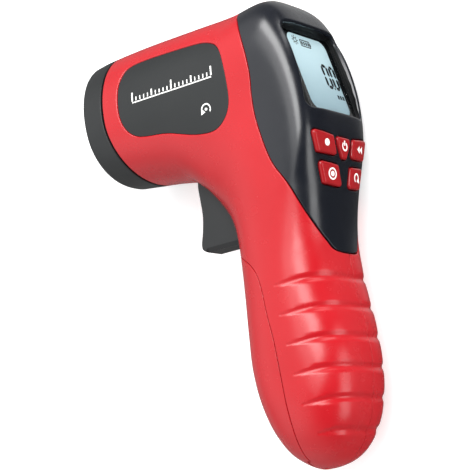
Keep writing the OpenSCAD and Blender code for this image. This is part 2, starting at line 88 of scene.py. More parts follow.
def loop_curve(p, k):
    p = np.asarray(p, float)
    n = len(p)
    return np.array([cr(p[i - 1], p[i], p[(i + 1) % n], p[(i + 2) % n], s / k) for i in range(n) for s in range(k)])


def ease(x):
    u = np.clip(x, 0, 1)
    return u * u * (3 - 2 * u)


def stn(t):
    i = np.clip(np.floor(t).astype(int), 0, 16)
    b, c = K[i], K[i + 1]
    a = np.where((i == 0)[..., None], 2 * b - c, K[np.maximum(i - 1, 0)])
    d = np.where((i == 16)[..., None], FOOT, K[np.minimum(i + 2, 17)])
    return cr(a, b, c, d, (t - i)[..., None])


def base(t, ph, off=0.0):
    t, ph = np.broadcast_arrays(np.asarray(t, float), np.asarray(ph, float))
    q = stn(t)
    dd = q[..., 2:4] - q[..., 0:2]
    l = np.maximum(np.hypot(dd[..., 0], dd[..., 1]), 1e-3)
    c, s = np.cos(ph), np.sin(ph)
    n = np.where(c > 0, q[..., 6], q[..., 7])
    r = (np.abs(c) ** n + np.abs(s) ** n) ** (-1 / n)
    mid = q[..., 5] * l
    a = np.maximum(np.where(c > 0, mid, l - mid) - off, 0.1)
    u = mid - a * r * c
    return np.stack([q[..., 0] + dd[..., 0] / l * u, q[..., 1] + dd[..., 1] / l * u,
                     np.maximum(q[..., 4] * HW - off, 0.1) * r * s], -1)


def angle(ph):
    return np.degrees(np.abs((ph + np.pi) % (2 * np.pi) - np.pi))


def bow(a):
    """The finger grooves rise a little on their way round to the back."""
    return 0.75 * np.sin(np.pi * np.clip((a - 95) / 85, 0, 1)) ** 2


GROOVE_START = [94, 95.9, 98.9, 101.5, 105.7, 117.4]


def groove(y, ph):
    a = angle(ph)
    k = (-24 + bow(a) - y) / 9.6
    r = np.clip(np.round(k), 0, 5)
    d = np.abs(k - r) * 9.6
    s = a - np.interp(r, np.arange(6), GROOVE_START)
    wide = 0.22 * ease(s / 46) * np.clip(1 - d / 4.8, 0, 1) ** 2.0
    width = 0.7 + 0.9 * ease(s / 24)
    thin = (0.19 + 0.22 * ease(s / 24)) * ease((s + 1.0) / 3.5) * np.clip(1 - (d / width) ** 2, 0, 1) ** 2
    return wide + thin


def skin(t, ph):
    p = base(t, ph)
    return base(t, ph, groove(p[..., 1], ph))


def normal(t, ph, f=base, e=1e-3):
    a, b = f(t + e, ph) - f(t - e, ph), f(t, ph + e) - f(t, ph - e)
    return unit(np.cross(a, b))


SIGN = 1.0 if (normal(np.array([8.0]), np.array([1.5]))[0, 2] > 0) else -1.0


def nose_t(ph, g):
    c = np.cos(ph)
    return 1.10 + 0.24 * np.maximum(c, 0) ** 1.5 + 0.1 * np.maximum(-c, 0) ** 2 + g / 9


def flank(x, y):
    """Place t and section angle of the left-flank point seen at x, y."""
    x, y = np.asarray(x, float), np.asarray(y, float)
    ts = np.linspace(-0.4, 16.95, 500)
    q = stn(ts)

    def miss(q, x, y):
        return (q[..., 2] - q[..., 0]) * (y - q[..., 1]) - (q[..., 3] - q[..., 1]) * (x - q[..., 0])

    m = miss(q[:, None], x[None], y[None])
    dd = q[:, 2:4] - q[:, 0:2]
    u = ((x[None] - q[:, 0:1]) * dd[:, 0:1] + (y[None] - q[:, 1:2]) * dd[:, 1:2]) / (dd ** 2).sum(1)[:, None]
    hit = (m[:-1] * m[1:] <= 0) & (u[:-1] > -0.1) & (u[:-1] < 1.1)
    i = hit.argmax(0)
    lo, hi = ts[i], ts[i + 1]
    flo = miss(stn(lo), x, y)
    for _ in range(30):
        t = (lo + hi) / 2
        f = miss(stn(t), x, y)
        same = f * flo > 0
        lo, hi = np.where(same, t, lo), np.where(same, hi, t)
    q = stn(t)
    dd = q[..., 2:4] - q[..., 0:2]
    l = np.hypot(dd[..., 0], dd[..., 1])
    u = ((x - q[..., 0]) * dd[..., 0] + (y - q[..., 1]) * dd[..., 1]) / l
    mid = q[..., 5] * l
    inner = u < mid
    s = np.clip(np.where(inner, (mid - u) / mid, (u - mid) / (l - mid)), 1e-6, 1)
    n = np.where(inner, q[..., 6], q[..., 7])
    g = np.arctan((s ** -n - 1) ** (1 / n))
    return t, np.where(inner, g, np.pi - g)


# ------------------------------------------------------------------ flat outlines
def sdf(p, poly):
    """Distance to a closed outline, positive inside, and its gradient."""
    poly = np.asarray(poly, float)
    b = np.roll(poly, -1, 0)
    e = b - poly
    ee = np.maximum((e * e).sum(1), 1e-12)
    dist, grad = np.empty(len(p)), np.empty((len(p), 2))
    for k in range(0, len(p), 6000):
        q = p[k:k + 6000]
        d = q[:, None] - poly[None]
        h = np.clip((d * e).sum(-1) / ee, 0, 1)
        v = d - e * h[..., None]
        s = (v * v).sum(-1)
        j = s.argmin(1)
        w = v[np.arange(len(q)), j]
        r = np.sqrt(s[np.arange(len(q)), j])
        y0, y1, yq = poly[None, :, 1], b[None, :, 1], q[:, None, 1]
        cross = (y0 > yq) != (y1 > yq)
        xs = poly[None, :, 0] + (yq - y0) / np.where(np.abs(y1 - y0) < 1e-12, 1e-12, y1 - y0) * e[None, :, 0]
        inside = ((cross & (q[:, None, 0] < xs)).sum(1) % 2) == 1
        sg = np.where(inside, 1.0, -1.0)
        nn = np.stack([-e[j, 1], e[j, 0]], 1) / np.sqrt(ee[j])[:, None]
        dist[k:k + 6000] = sg * r
        grad[k:k + 6000] = np.where((r > 1e-5)[:, None], sg[:, None] * w / np.maximum(r, 1e-9)[:, None], nn)
    return dist, grad


def ccw(p):
    p = np.asarray(p, float)
    q = np.roll(p, -1, 0)
    return p if (p[:, 0] * q[:, 1] - q[:, 0] * p[:, 1]).sum() > 0 else p[::-1].copy()


def inset(p, d):
    p = ccw(p)
    n = len(p)
    out = []
    for i in range(n):
        a, b, c = p[i - 1], p[i], p[(i + 1) % n]
        u, v = unit(b - a), unit(c - b)
        nu, nv = np.array([-u[1], u[0]]), np.array([-v[1], v[0]])
        m = np.array([u, -v]).T
        s = np.linalg.solve(m, (b + nv * d) - (b + nu * d)) if abs(np.linalg.det(m)) > 1e-9 else [0, 0]
        out.append(b + nu * d + u * s[0])
    return np.array(out)


def rounded_poly(p, r, grow=0.0, k=9):
    """Outline p with corners of radius r, grown by grow, as arcs round its inset corners."""
    core = inset(p, r)
    n = len(core)
    out = []
    for i in range(n):
        a, b, c = core[i - 1], core[i], core[(i + 1) % n]
        u, v = unit(b - a), unit(c - b)
        g0, g1 = math.atan2(-u[0], u[1]), math.atan2(-v[0], v[1])
        if g1 < g0:
            g1 += 2 * math.pi
        for s in range(k + 1):
            g = g0 + (g1 - g0) * s / k
            out.append(b + (r + grow) * np.array([math.cos(g), math.sin(g)]))
    return np.array(out)


def rect(w, h, x=0.0, y=0.0):
    return np.array([[x - w / 2, y - h / 2], [x + w / 2, y - h / 2], [x + w / 2, y + h / 2], [x - w / 2, y + h / 2]])


def dense(p, step, closed=True):
    p = np.asarray(p, float)
    q = np.concatenate([p, p[:1]]) if closed else p
    out = []
    for a, b in zip(q[:-1], q[1:]):
        m = max(1, int(math.ceil(np.linalg.norm(b - a) / step)))
        out += [a + (b - a) * s / m for s in range(m)]
    if not closed:
        out.append(q[-1])
    return np.array(out)


class Face:
    """A flat working frame on the body: n out of the face, v up along it, z across."""

    def __init__(self, o, lean):
        g = math.radians(lean)
        self.o = np.array([o[0], o[1], 0.0])
        self.n = np.array([math.cos(g), math.sin(g), 0.0])
        self.v = np.array([-math.sin(g), math.cos(g), 0.0])
        self.z = np.array([0.0, 0.0, 1.0])

    def at(self, zv, n):
        zv = np.asarray(zv, float)
        return self.o + zv[..., 0:1] * self.z + zv[..., 1:2] * self.v + np.asarray(n, float)[..., None] * self.n

    def flat(self, p):
        d = p - self.o
        return np.stack([d @ self.z, d @ self.v], -1), d @ self.n


LCD = Face((41.45, 44.5), 13.3)
KEY = Face((44.9, 13.9), -8)
KEY_A = [[5.9, 7.8], [16.3, 8.8], [13.9, 1.5], [4.3, 1.2]]
KEY_P = [[4.1, 7.7], [-4.1, 7.7], [-3.3, 4.4], [-1.3, 0.5], [1.3, 0.5], [3.3, 4.4]]
KEY_B = [[3.8, -1.6], [13, -0.95], [10.8, -8.25], [1.95, -8.85]]


def mirrored(p):
    return [[-a, b] for a, b in p]


KEYS = {"key_laser": KEY_A, "key_power": KEY_P, "key_mode": mirrored(KEY_A), "key_store": KEY_B,
        "key_recall": mirrored(KEY_B)}
RIM = rounded_poly([[-17.3, -15.3], [17.3, -15.3], [16.9, 15.7], [-16.9, 15.7]], 3.2)
SEAT_Q = [[-14.4, -14.9], [14.4, -14.9], [14.0, 14.7], [-14.0, 14.7]]


def surf(face, zv, off=0.0, ts=(3.2, 12.0), ps=(84, 276)):
    """Height of the body's skin over points of a face frame, and their place on the body."""
    zv = np.asarray(zv, float)
    tt, pp = np.meshgrid(np.linspace(*ts, 110), np.radians(np.linspace(*ps, 130)), indexing="ij")
    tt, pp = tt.ravel(), pp.ravel()
    q, h = face.flat(base(tt, pp, off))
    ok = h > h.max() - 22
    tt, pp, q = tt[ok], pp[ok], q[ok]
    i = np.array([((q - a) ** 2).sum(1).argmin() for a in zv])
    t, ph = tt[i], pp[i]
    e = 1e-3
    for _ in range(10):
        r = face.flat(base(t, ph, off))[0] - zv
        a = (face.flat(base(t + e, ph, off))[0] - face.flat(base(t - e, ph, off))[0]) / (2 * e)
        b = (face.flat(base(t, ph + e, off))[0] - face.flat(base(t, ph - e, off))[0]) / (2 * e)
        det = a[:, 0] * b[:, 1] - a[:, 1] * b[:, 0]
        det = np.where(np.abs(det) < 1e-6, 1e-6, det)
        t = t - np.clip((r[:, 0] * b[:, 1] - r[:, 1] * b[:, 0]) / det, -0.2, 0.2)
        ph = ph - np.clip((a[:, 0] * r[:, 1] - a[:, 1] * r[:, 0]) / det, -0.1, 0.1)
    return face.flat(base(t, ph, off))[1], t, ph


def refine(p, m):
    q = np.roll(p, -1, 0)
    return np.stack([p + (q - p) * k / m for k in range(m)], 1).reshape(-1, 2)


# ------------------------------------------------------------------ meshes
def new_object(name, verts, tris, corner_normals=None, sharp=None):
    """A mesh object from millimetre points; corner_normals gives one normal per triangle corner."""
    me = bpy.data.meshes.new(name)
    tris = np.asarray(tris, int)
    good = (tris[:, 0] != tris[:, 1]) & (tris[:, 1] != tris[:, 2]) & (tris[:, 0] != tris[:, 2])
    tris = tris[good]
    me.from_pydata(row(verts).tolist(), [], tris.tolist())
    me.polygons.foreach_set("use_smooth", np.ones(len(tris), bool))
    me.update()
    if corner_normals is not None:
        cn = unit(np.asarray(corner_normals)[good]).reshape(-1, 3)
        me.normals_split_custom_set(cn.tolist())
    elif sharp is not None:
        me.set_sharp_from_angle(angle=math.radians(sharp))
    ob = bpy.data.objects.new(name, me)
    bpy.context.scene.collection.objects.link(ob)
    return ob


def grid(ts, phs):
    t, p = np.meshgrid(ts, phs, indexing="ij")
    n, m = t.shape
    i = np.arange(n * m).reshape(n, m)
    a, b, c, d = i[:-1, :-1].ravel(), i[:-1, 1:].ravel(), i[1:, 1:].ravel(), i[1:, :-1].ravel()
    odd = ((np.arange(n - 1)[:, None] + np.arange(m - 1)[None]) % 2).ravel() == 1
    t1 = np.where(odd[:, None], np.stack([a, b, c], 1), np.stack([a, b, d], 1))
    t2 = np.where(odd[:, None], np.stack([a, c, d], 1), np.stack([b, c, d], 1))
    return np.stack([t.ravel(), p.ravel()], 1), np.concatenate([t1, t2])


def split(uv, tri, f, level, snap=0.012):
    """Cuts the triangles along f = level; new points get exactly that value."""
    g = f - level
    g[np.abs(g) < snap] = 0
    s = np.sign(g)[tri]
    hit = (s.min(1) < 0) & (s.max(1) > 0)
    if not hit.any():
        return uv, tri, f
    keep, tri, s = tri[~hit], tri[hit], s[hit]
    zero = (s == 0).any(1)
    lone = np.where(zero, (s == 0).argmax(1), np.abs(s.sum(1, keepdims=True) * 0 + s + np.sign(s.sum(1, keepdims=True))).argmin(1))
    k = np.arange(len(tri))
    v0, v1, v2 = tri[k, lone], tri[k, (lone + 1) % 3], tri[k, (lone + 2) % 3]

    e01, e02, e12 = np.stack([v0, v1], 1)[~zero], np.stack([v0, v2], 1)[~zero], np.stack([v1, v2], 1)[zero]
    e = np.sort(np.concatenate([e01, e02, e12]), 1)
    key, back = np.unique(e[:, 0] * (len(uv) + 1) + e[:, 1], return_inverse=True)
    a, b = key // (len(uv) + 1), key % (len(uv) + 1)
    w = (g[a] / (g[a] - g[b]))[:, None]
    new = uv[a] + w * (uv[b] - uv[a])
    ids = back.ravel() + len(uv)
    n1 = len(e01)
    p01, p02, p12 = ids[:n1], ids[n1:2 * n1], ids[2 * n1:]
    a0, a1, a2 = v0[~zero], v1[~zero], v2[~zero]
    z0, z1, z2 = v0[zero], v1[zero], v2[zero]
    out = [keep, np.stack([a0, p01, p02], 1), np.stack([p01, a1, a2], 1), np.stack([p01, a2, p02], 1),
           np.stack([z0, z1, p12], 1), np.stack([z0, p12, z2], 1)]
    return np.concatenate([uv, new]), np.concatenate(out), np.concatenate([f, np.full(len(new), float(level))])


def compact(uv, tri, *more):
    used = np.unique(tri)
    m = np.full(len(uv), -1)
    m[used] = np.arange(len(used))
    return (uv[used], m[tri]) + tuple(x[used] for x in more)


def tangent(d, g, n):
    """Distance along the surface and the way to the edge, from a distance field d with gradient g."""
    gt = g - (g * n).sum(-1, keepdims=True) * n
    m = np.linalg.norm(gt, axis=-1)
    return d / np.maximum(m, 0.3), -unit(gt)


def lift(g, *axes):
    return sum(g[:, i:i + 1] * a for i, a in enumerate(axes))


XA, YA, ZA = np.eye(3)
HOUSING_LINE = np.concatenate([curve(S_HOUSING, 9), [[70, -22], [70, 90], [20, 90]]])
DOOR_LINE = np.concatenate([curve(S_DOOR, 9), [[-20, -90], [-20, -12]]])
LABEL_LINE = loop_curve(S_LABEL, 9)


def in_prism(poly, gap, radius, inside=True):
    def con(t, ph, p, n):
        d, g = sdf(p[:, :2], poly)
        sg = 1.0 if inside else -1.0
        return tangent(sg * d - gap, sg * lift(g, XA, YA), n) + (radius,)
    return con


def side_of(s, gap, radius):
    def con(t, ph, p, n):
        return tangent(s * p[:, 2] - gap, np.tile(s * ZA, (len(p), 1)), n) + (radius,)
    return con


def behind_nose(radius):
    def con(t, ph, p, n):
        e = 1e-3
        dt = (base(t + e, ph) - base(t - e, ph)) / (2 * e)
        return (t - nose_t(ph, SEAM)) * np.linalg.norm(dt, axis=1), -unit(dt), radius
    return con


def off_slot(radius):
    def con(t, ph, p, n):
        d, g = sdf(p[:, :2], S_SLOT)
        side = np.abs(p[:, 2]) - 5.45
        use = side > -d
        dd = np.where(use, side, -d)
        gg = np.where(use[:, None], np.sign(p[:, 2:3]) * ZA, -lift(g, XA, YA))
        return tangent(dd, gg, n) + (radius,)
    return con


def off_holes(places, r, radius):
    def con(t, ph, p, n):
        best, grad = np.full(len(p), 1e3), np.tile(XA, (len(p), 1))
        for c in places:
            v = p[:, :2] - np.array(c)
            q = np.linalg.norm(v, axis=1)
            near = q - r < best
            best = np.where(near, q - r, best)
            grad = np.where(near[:, None], lift(v / np.maximum(q, 1e-6)[:, None], XA, YA), grad)
        return tangent(best, grad, n) + (radius,)
    return con


def off_face(face, poly, radius, gap=0.0):
    def con(t, ph, p, n):
        zv, h = face.flat(p)
        d, g = sdf(zv, poly)
        return tangent(-d - gap, -lift(g, face.z, face.v), n) + (radius,)
    return con


def least(*c):
    d = np.stack([x[0] for x in c])
    i, k = d.argmin(0), np.arange(d.shape[1])
    return d[i, k], np.stack([x[1] for x in c])[i, k]


def most(*c):
    d, g = least(*[(-x[0], x[1]) for x in c])
    return -d, g


def door_edge(door, gap, radius):
    """Seam of the battery door, with the interleaved hinge knuckles at the foot."""
    def con(t, ph, p, n):
        d, g = sdf(p[:, :2], DOOR_LINE)
        g = lift(g, XA, YA)
        v = p[:, :2] - np.array(HINGE)
        r = np.linalg.norm(v, axis=1)
        gr = lift(v / np.maximum(r, 1e-6)[:, None], XA, YA)
        az, gz = np.abs(p[:, 2]), np.sign(p[:, 2:3]) * ZA
        if door:
            lobe = least((1.5 - r, -gr), (2.6 - az, -gz))
            hole = most((r - 2.15, gr), (2.65 - az, -gz), (az - 9.3, gz))
            dd, gg = least(most((d - gap, g), lobe), hole)
        else:
            lobe = least((1.5 - r, -gr), (az - 3.3, gz), (9.1 - az, -gz))
            hole = most((r - 2.15, gr), (az - 3.15, gz))
            dd, gg = least(most((-d - gap, -g), lobe), hole)
        return tangent(dd, gg, n) + (radius,)
    return con


def measure(uv, cons):
    t, ph = uv[:, 0], uv[:, 1]
    p, n = base(t, ph), SIGN * normal(t, ph)
    return [c(t, ph, p, n) for c in cons]


def field(uv, cons):
    return np.min([m[0] for m in measure(uv, cons)], axis=0)


RIB_CUTS = [-9.6 * k + d for k in range(6) for d in (-2.4, -1.3, -0.8, -0.4, 0.0, 0.4, 0.8, 1.3, 2.4)]


def cut_patch(ts, phs, cons, levels, ribs=False):
    """The part of the body's skin where every constraint holds, sliced along its own edges."""
    uv, tri = grid(ts, phs)
    f = field(uv, cons)
    near = (f[tri].max(1) > -0.5)
    uv, tri, f = compact(uv, tri[near], f)
    uv, tri, f = split(uv, tri, f, 0.0)
    ok = f[tri].sum(1) > 0
    uv, tri, f = compact(uv, tri[ok], f)
    for level in levels:
        uv, tri, f = split(uv, tri, f, level)
    if ribs:
        a = angle(uv[:, 1])
        y = np.where(a < 84, 99.0, base(uv[:, 0], uv[:, 1])[:, 1] + 24 - bow(a))
        for level in RIB_CUTS:
            uv, tri, y = split(uv, tri, y, level, 0.03)
    return uv, tri


def boundary(tri):
    e = np.concatenate([tri[:, [0, 1]], tri[:, [1, 2]], tri[:, [2, 0]]])
    s = np.sort(e, 1)
    key = s[:, 0] * (tri.max() + 2) + s[:, 1]
    u, first, count = np.unique(key, return_index=True, return_counts=True)
    return e[first[count == 1]]


def moulding(name, ts, phs, cons, levels, wall, sunk=0.0, ribs=False):
    """A closed moulding cut from the body's skin: rounded edges, side walls and inner face."""
    uv, tri = cut_patch(ts, phs, cons, levels, ribs)
    t, ph = uv[:, 0], uv[:, 1]
    p0, n0 = base(t, ph), SIGN * normal(t, ph)
    got = measure(uv, cons)
    drop, nn = np.zeros(len(uv)), np.zeros((len(uv), 3))
    ns = SIGN * normal(t, ph, skin) if ribs else n0
    cos = np.ones(len(uv))
    for d, m, r in got:
        s = np.clip(1 - np.maximum(d, 0) / r, 0, 1)
        c = np.sqrt(np.maximum(1 - s * s, 0))
        drop = np.maximum(drop, r * (1 - c))
        cos = np.minimum(cos, c)
        nn += m * s[:, None]
    nn = unit(nn + ns * cos[:, None])
    out = (skin(t, ph) if ribs else p0) - n0 * (drop + sunk)[:, None]
    inn = p0 - n0 * wall
    which = np.argmin([g[0] for g in got], axis=0)
    way = np.choose(which[:, None], [g[1] for g in got])
    nv = len(uv)
    fn = np.cross(out[tri[:, 1]] - out[tri[:, 0]], out[tri[:, 2]] - out[tri[:, 0]])
    if (fn * nn[tri[:, 0]]).sum() < 0:
        tri = tri[:, ::-1].copy()
    edge = boundary(tri)
    a, b = edge[:, 0], edge[:, 1]
    faces = [tri, tri[:, ::-1] + nv, np.stack([b, a, a + nv], 1), np.stack([b, a + nv, b + nv], 1)]
    norms = [nn[tri], -n0[tri[:, ::-1]], np.stack([way[b], way[a], way[a]], 1), np.stack([way[b], way[a], way[b]], 1)]
    return new_object(name, np.concatenate([out, inn]), np.concatenate(faces), np.concatenate(norms))


def cap(ring):
    """Triangles that fill a closed flat ring of 2-D points."""
    return np.array(tessellate_polygon([[Vector((float(a), float(b), 0.0)) for a, b in ring]]), int)


def tube(rows, closed_ring=True, cap_first=None, cap_last=None, loop_rows=False):
    """Rows of equal length joined by triangles; caps are given as triangles over one row."""
    rows = [np.asarray(r, float) for r in rows]
    m, n = len(rows), len(rows[0])
    i = np.arange(m * n).reshape(m, n)
    nxt = np.roll(i, -1, 1) if closed_ring else i[:, 1:]
    cur = i if closed_ring else i[:, :-1]
    if loop_rows:
        a, b, c, d = cur, nxt, np.roll(nxt, -1, 0), np.roll(cur, -1, 0)
    else:
        a, b, c, d = cur[:-1], nxt[:-1], nxt[1:], cur[1:]
    a, b, c, d = a.ravel(), b.ravel(), c.ravel(), d.ravel()
    tri = [np.stack([a, b, c], 1), np.stack([a, c, d], 1)]
    if cap_first is not None:
        tri.append(cap_first[:, ::-1])
    if cap_last is not None:
        tri.append(cap_last + (m - 1) * n)
    return np.concatenate(rows), np.concatenate(tri)


def outward(verts, tri):
    """Turns a closed mesh's faces outwards by the sign of its volume."""
    a, b, c = verts[tri[:, 0]], verts[tri[:, 1]], verts[tri[:, 2]]
    return tri if (a * np.cross(b, c)).sum() > 0 else tri[:, ::-1].copy()


def plate(name, face, outline, n0, n1, bevel=0.0, sharp=30):
    """A flat plate on a face frame with a bevelled front edge. outline is a function of growth."""
    o0 = ccw(outline(0.0))
    rows = [face.at(o0, np.full(len(o0), n0)), face.at(o0, np.full(len(o0), n1 - bevel))]
    last = o0
    if bevel:
        for g in (0.3, 0.6, 0.8, 1.0):
            last = ccw(outline(-bevel * (1 - math.cos(g * math.pi / 2))))
            rows.append(face.at(last, np.full(len(o0), n1 - bevel + bevel * math.sin(g * math.pi / 2))))
    v, t = tube(rows, True, cap(o0), cap(last))
    return new_object(name, v, outward(v, t), sharp=sharp)


def stroke(path, width, closed=False, step=0.25):
    """A flat ribbon along path: points and triangles."""
    p = dense(path, step, closed)
    if closed:
        d = unit(np.roll(p, -1, 0) - np.roll(p, 1, 0))
    else:
        d = unit(np.gradient(p, axis=0))
    nrm = np.stack([-d[:, 1], d[:, 0]], 1) * width / 2
    n = len(p)
    v = np.concatenate([p + nrm, p - nrm])
    i = np.arange(n if closed else n - 1)
    j = (i + 1) % n
    return v, np.concatenate([np.stack([i, i + n, j + n], 1), np.stack([i, j + n, j], 1)])


def disc(c, r, k=28):
    a = np.arange(k) * 2 * np.pi / k
    rings = [np.array(c)[None] + r * s * np.stack([np.cos(a), np.sin(a)], 1) for s in (1.0, 0.6, 0.25)]
    v, t = tube(rings)
    return np.concatenate([v, [c]]), np.concatenate([t, [[2 * k + i, 2 * k + (i + 1) % k, 3 * k] for i in range(k)]])


def shape(poly):
    return np.asarray(poly, float), cap(poly)


def gather(parts):
    v, t, k = [], [], 0
    for a, b in parts:
        v.append(a)
        t.append(np.asarray(b) + k)
        k += len(a)
    return np.concatenate(v), np.concatenate(t)


def printed(name, parts, place, rise, depth):
    """Thin raised print: flat shapes laid on a surface by place(points) -> (positions, normals)."""
    v, t = gather(parts)
    p, n = place(v)
    up, dn = p + n * rise, p - n * depth
    fn = np.cross(up[t[:, 1]] - up[t[:, 0]], up[t[:, 2]] - up[t[:, 0]])
    bad = (fn * n[t[:, 0]]).sum(1) < 0
    t[bad] = t[bad][:, ::-1]
    e = boundary(t)
    k = len(v)
    a, b = e[:, 0], e[:, 1]
    tri = np.concatenate([t, t[:, ::-1] + k, np.stack([b, a, a + k], 1), np.stack([b, a + k, b + k], 1)])
    return new_object(name, np.concatenate([up, dn]), tri, sharp=40)


# ------------------------------------------------------------------ materials
def nodes_of(name):
    m = bpy.data.materials.new(name)
    m.use_nodes = True
    nt = m.node_tree
    nt.nodes.clear()
    out = nt.nodes.new("ShaderNodeOutputMaterial")
    sh = nt.nodes.new("ShaderNodeBsdfPrincipled")
    nt.links.new(sh.outputs["BSDF"], out.inputs["Surface"])
    co = nt.nodes.new("ShaderNodeTexCoord")
    return m, nt, sh, co.outputs["Object"]


def noise(nt, vec, scale, detail=3.0, rough=0.55):
    n = nt.nodes.new("ShaderNodeTexNoise")
    n.inputs["Scale"].default_value = scale
    n.inputs["Detail"].default_value = detail
    n.inputs["Roughness"].default_value = rough
    nt.links.new(vec, n.inputs["Vector"])
    return n.outputs["Fac"]


def remap(nt, val, lo, hi, a=0.3, b=0.7):
    n = nt.nodes.new("ShaderNodeMapRange")
    n.inputs["From Min"].default_value = a
    n.inputs["From Max"].default_value = b
    n.inputs["To Min"].default_value = lo
    n.inputs["To Max"].default_value = hi
    nt.links.new(val, n.inputs["Value"])
    return n.outputs["Result"]


def two_tone(nt, val, c0, c1, a=0.3, b=0.7):
    n = nt.nodes.new("ShaderNodeValToRGB")
    e = n.color_ramp.elements
    e[0].position, e[0].color = a, (*c0, 1)
    e[1].position, e[1].color = b, (*c1, 1)
    nt.links.new(val, n.inputs["Fac"])
    return n.outputs["Color"]


def bump(nt, sh, height, strength, distance):
    n = nt.nodes.new("ShaderNodeBump")
    n.inputs["Strength"].default_value = strength
    n.inputs["Distance"].default_value = distance
    nt.links.new(height, n.inputs["Height"])
    nt.links.new(n.outputs["Normal"], sh.inputs["Normal"])


def add(nt, a, b, op="ADD"):
    n = nt.nodes.new("ShaderNodeMath")
    n.operation = op
    for i, x in enumerate((a, b)):
        if isinstance(x, (int, float)):
            n.inputs[i].default_value = x
        else:
            nt.links.new(x, n.inputs[i])
    return n.outputs[0]


def moulded(name, c0, c1, rough, grain=2600.0, depth=0.00002, strength=0.25, spec=0.5, coat=0.0, coat_rough=0.1):
    """Moulded plastic: slow colour drift, uneven gloss and a fine eroded-tool grain."""
    m, nt, sh, co = nodes_of(name)
    nt.links.new(two_tone(nt, noise(nt, co, 38.0, 4.0), c0, c1), sh.inputs["Base Color"])
    nt.links.new(remap(nt, noise(nt, co, 160.0, 5.0), rough - 0.03, rough + 0.04), sh.inputs["Roughness"])
    bump(nt, sh, add(nt, noise(nt, co, grain, 2.0), add(nt, noise(nt, co, grain * 0.23, 2.0), 0.6, "MULTIPLY")), strength, depth)
    sh.inputs["Specular IOR Level"].default_value = spec
    sh.inputs["Coat Weight"].default_value = coat
    sh.inputs["Coat Roughness"].default_value = coat_rough
    return m


def metal(name, c0, c1, rough, stretch=(1, 1, 1), scale=900.0):
    m, nt, sh, co = nodes_of(name)
    mp = nt.nodes.new("ShaderNodeMapping")
    mp.inputs["Scale"].default_value = stretch
    nt.links.new(co, mp.inputs["Vector"])
    v = noise(nt, mp.outputs["Vector"], scale, 4.0)
    nt.links.new(two_tone(nt, v, c0, c1), sh.inputs["Base Color"])
    nt.links.new(remap(nt, v, rough - 0.06, rough + 0.1), sh.inputs["Roughness"])
    sh.inputs["Metallic"].default_value = 1.0
    bump(nt, sh, v, 0.2, 0.00002)
    return m


def board(name):
    """Green circuit board with lighter tracks under the solder mask."""
    m, nt, sh, co = nodes_of(name)
    br = nt.nodes.new("ShaderNodeTexVoronoi")
    br.distance = "MANHATTAN"
    br.feature = "F1"
    br.inputs["Scale"].default_value = 420.0
    nt.links.new(co, br.inputs["Vector"])
    tracks = two_tone(nt, br.outputs["Distance"], (0.02, 0.16, 0.06), (0.012, 0.10, 0.04), 0.28, 0.34)
    nt.links.new(tracks, sh.inputs["Base Color"])
    nt.links.new(remap(nt, noise(nt, co, 500.0), 0.3, 0.42), sh.inputs["Roughness"])
    bump(nt, sh, br.outputs["Distance"], 0.25, 0.00003)
    return m


def clear(name, tint, alpha, rough=0.04):
    """Clear moulded pane: mostly see-through, with a faint unevenness in its gloss."""
    m, nt, sh, co = nodes_of(name)
    nt.links.new(two_tone(nt, noise(nt, co, 60.0), tint, tuple(min(1, x * 1.05) for x in tint)), sh.inputs["Base Color"])
    nt.links.new(remap(nt, noise(nt, co, 220.0), rough, rough + 0.03), sh.inputs["Roughness"])
    sh.inputs["Alpha"].default_value = alpha
    sh.inputs["Specular IOR Level"].default_value = 0.5
    return m


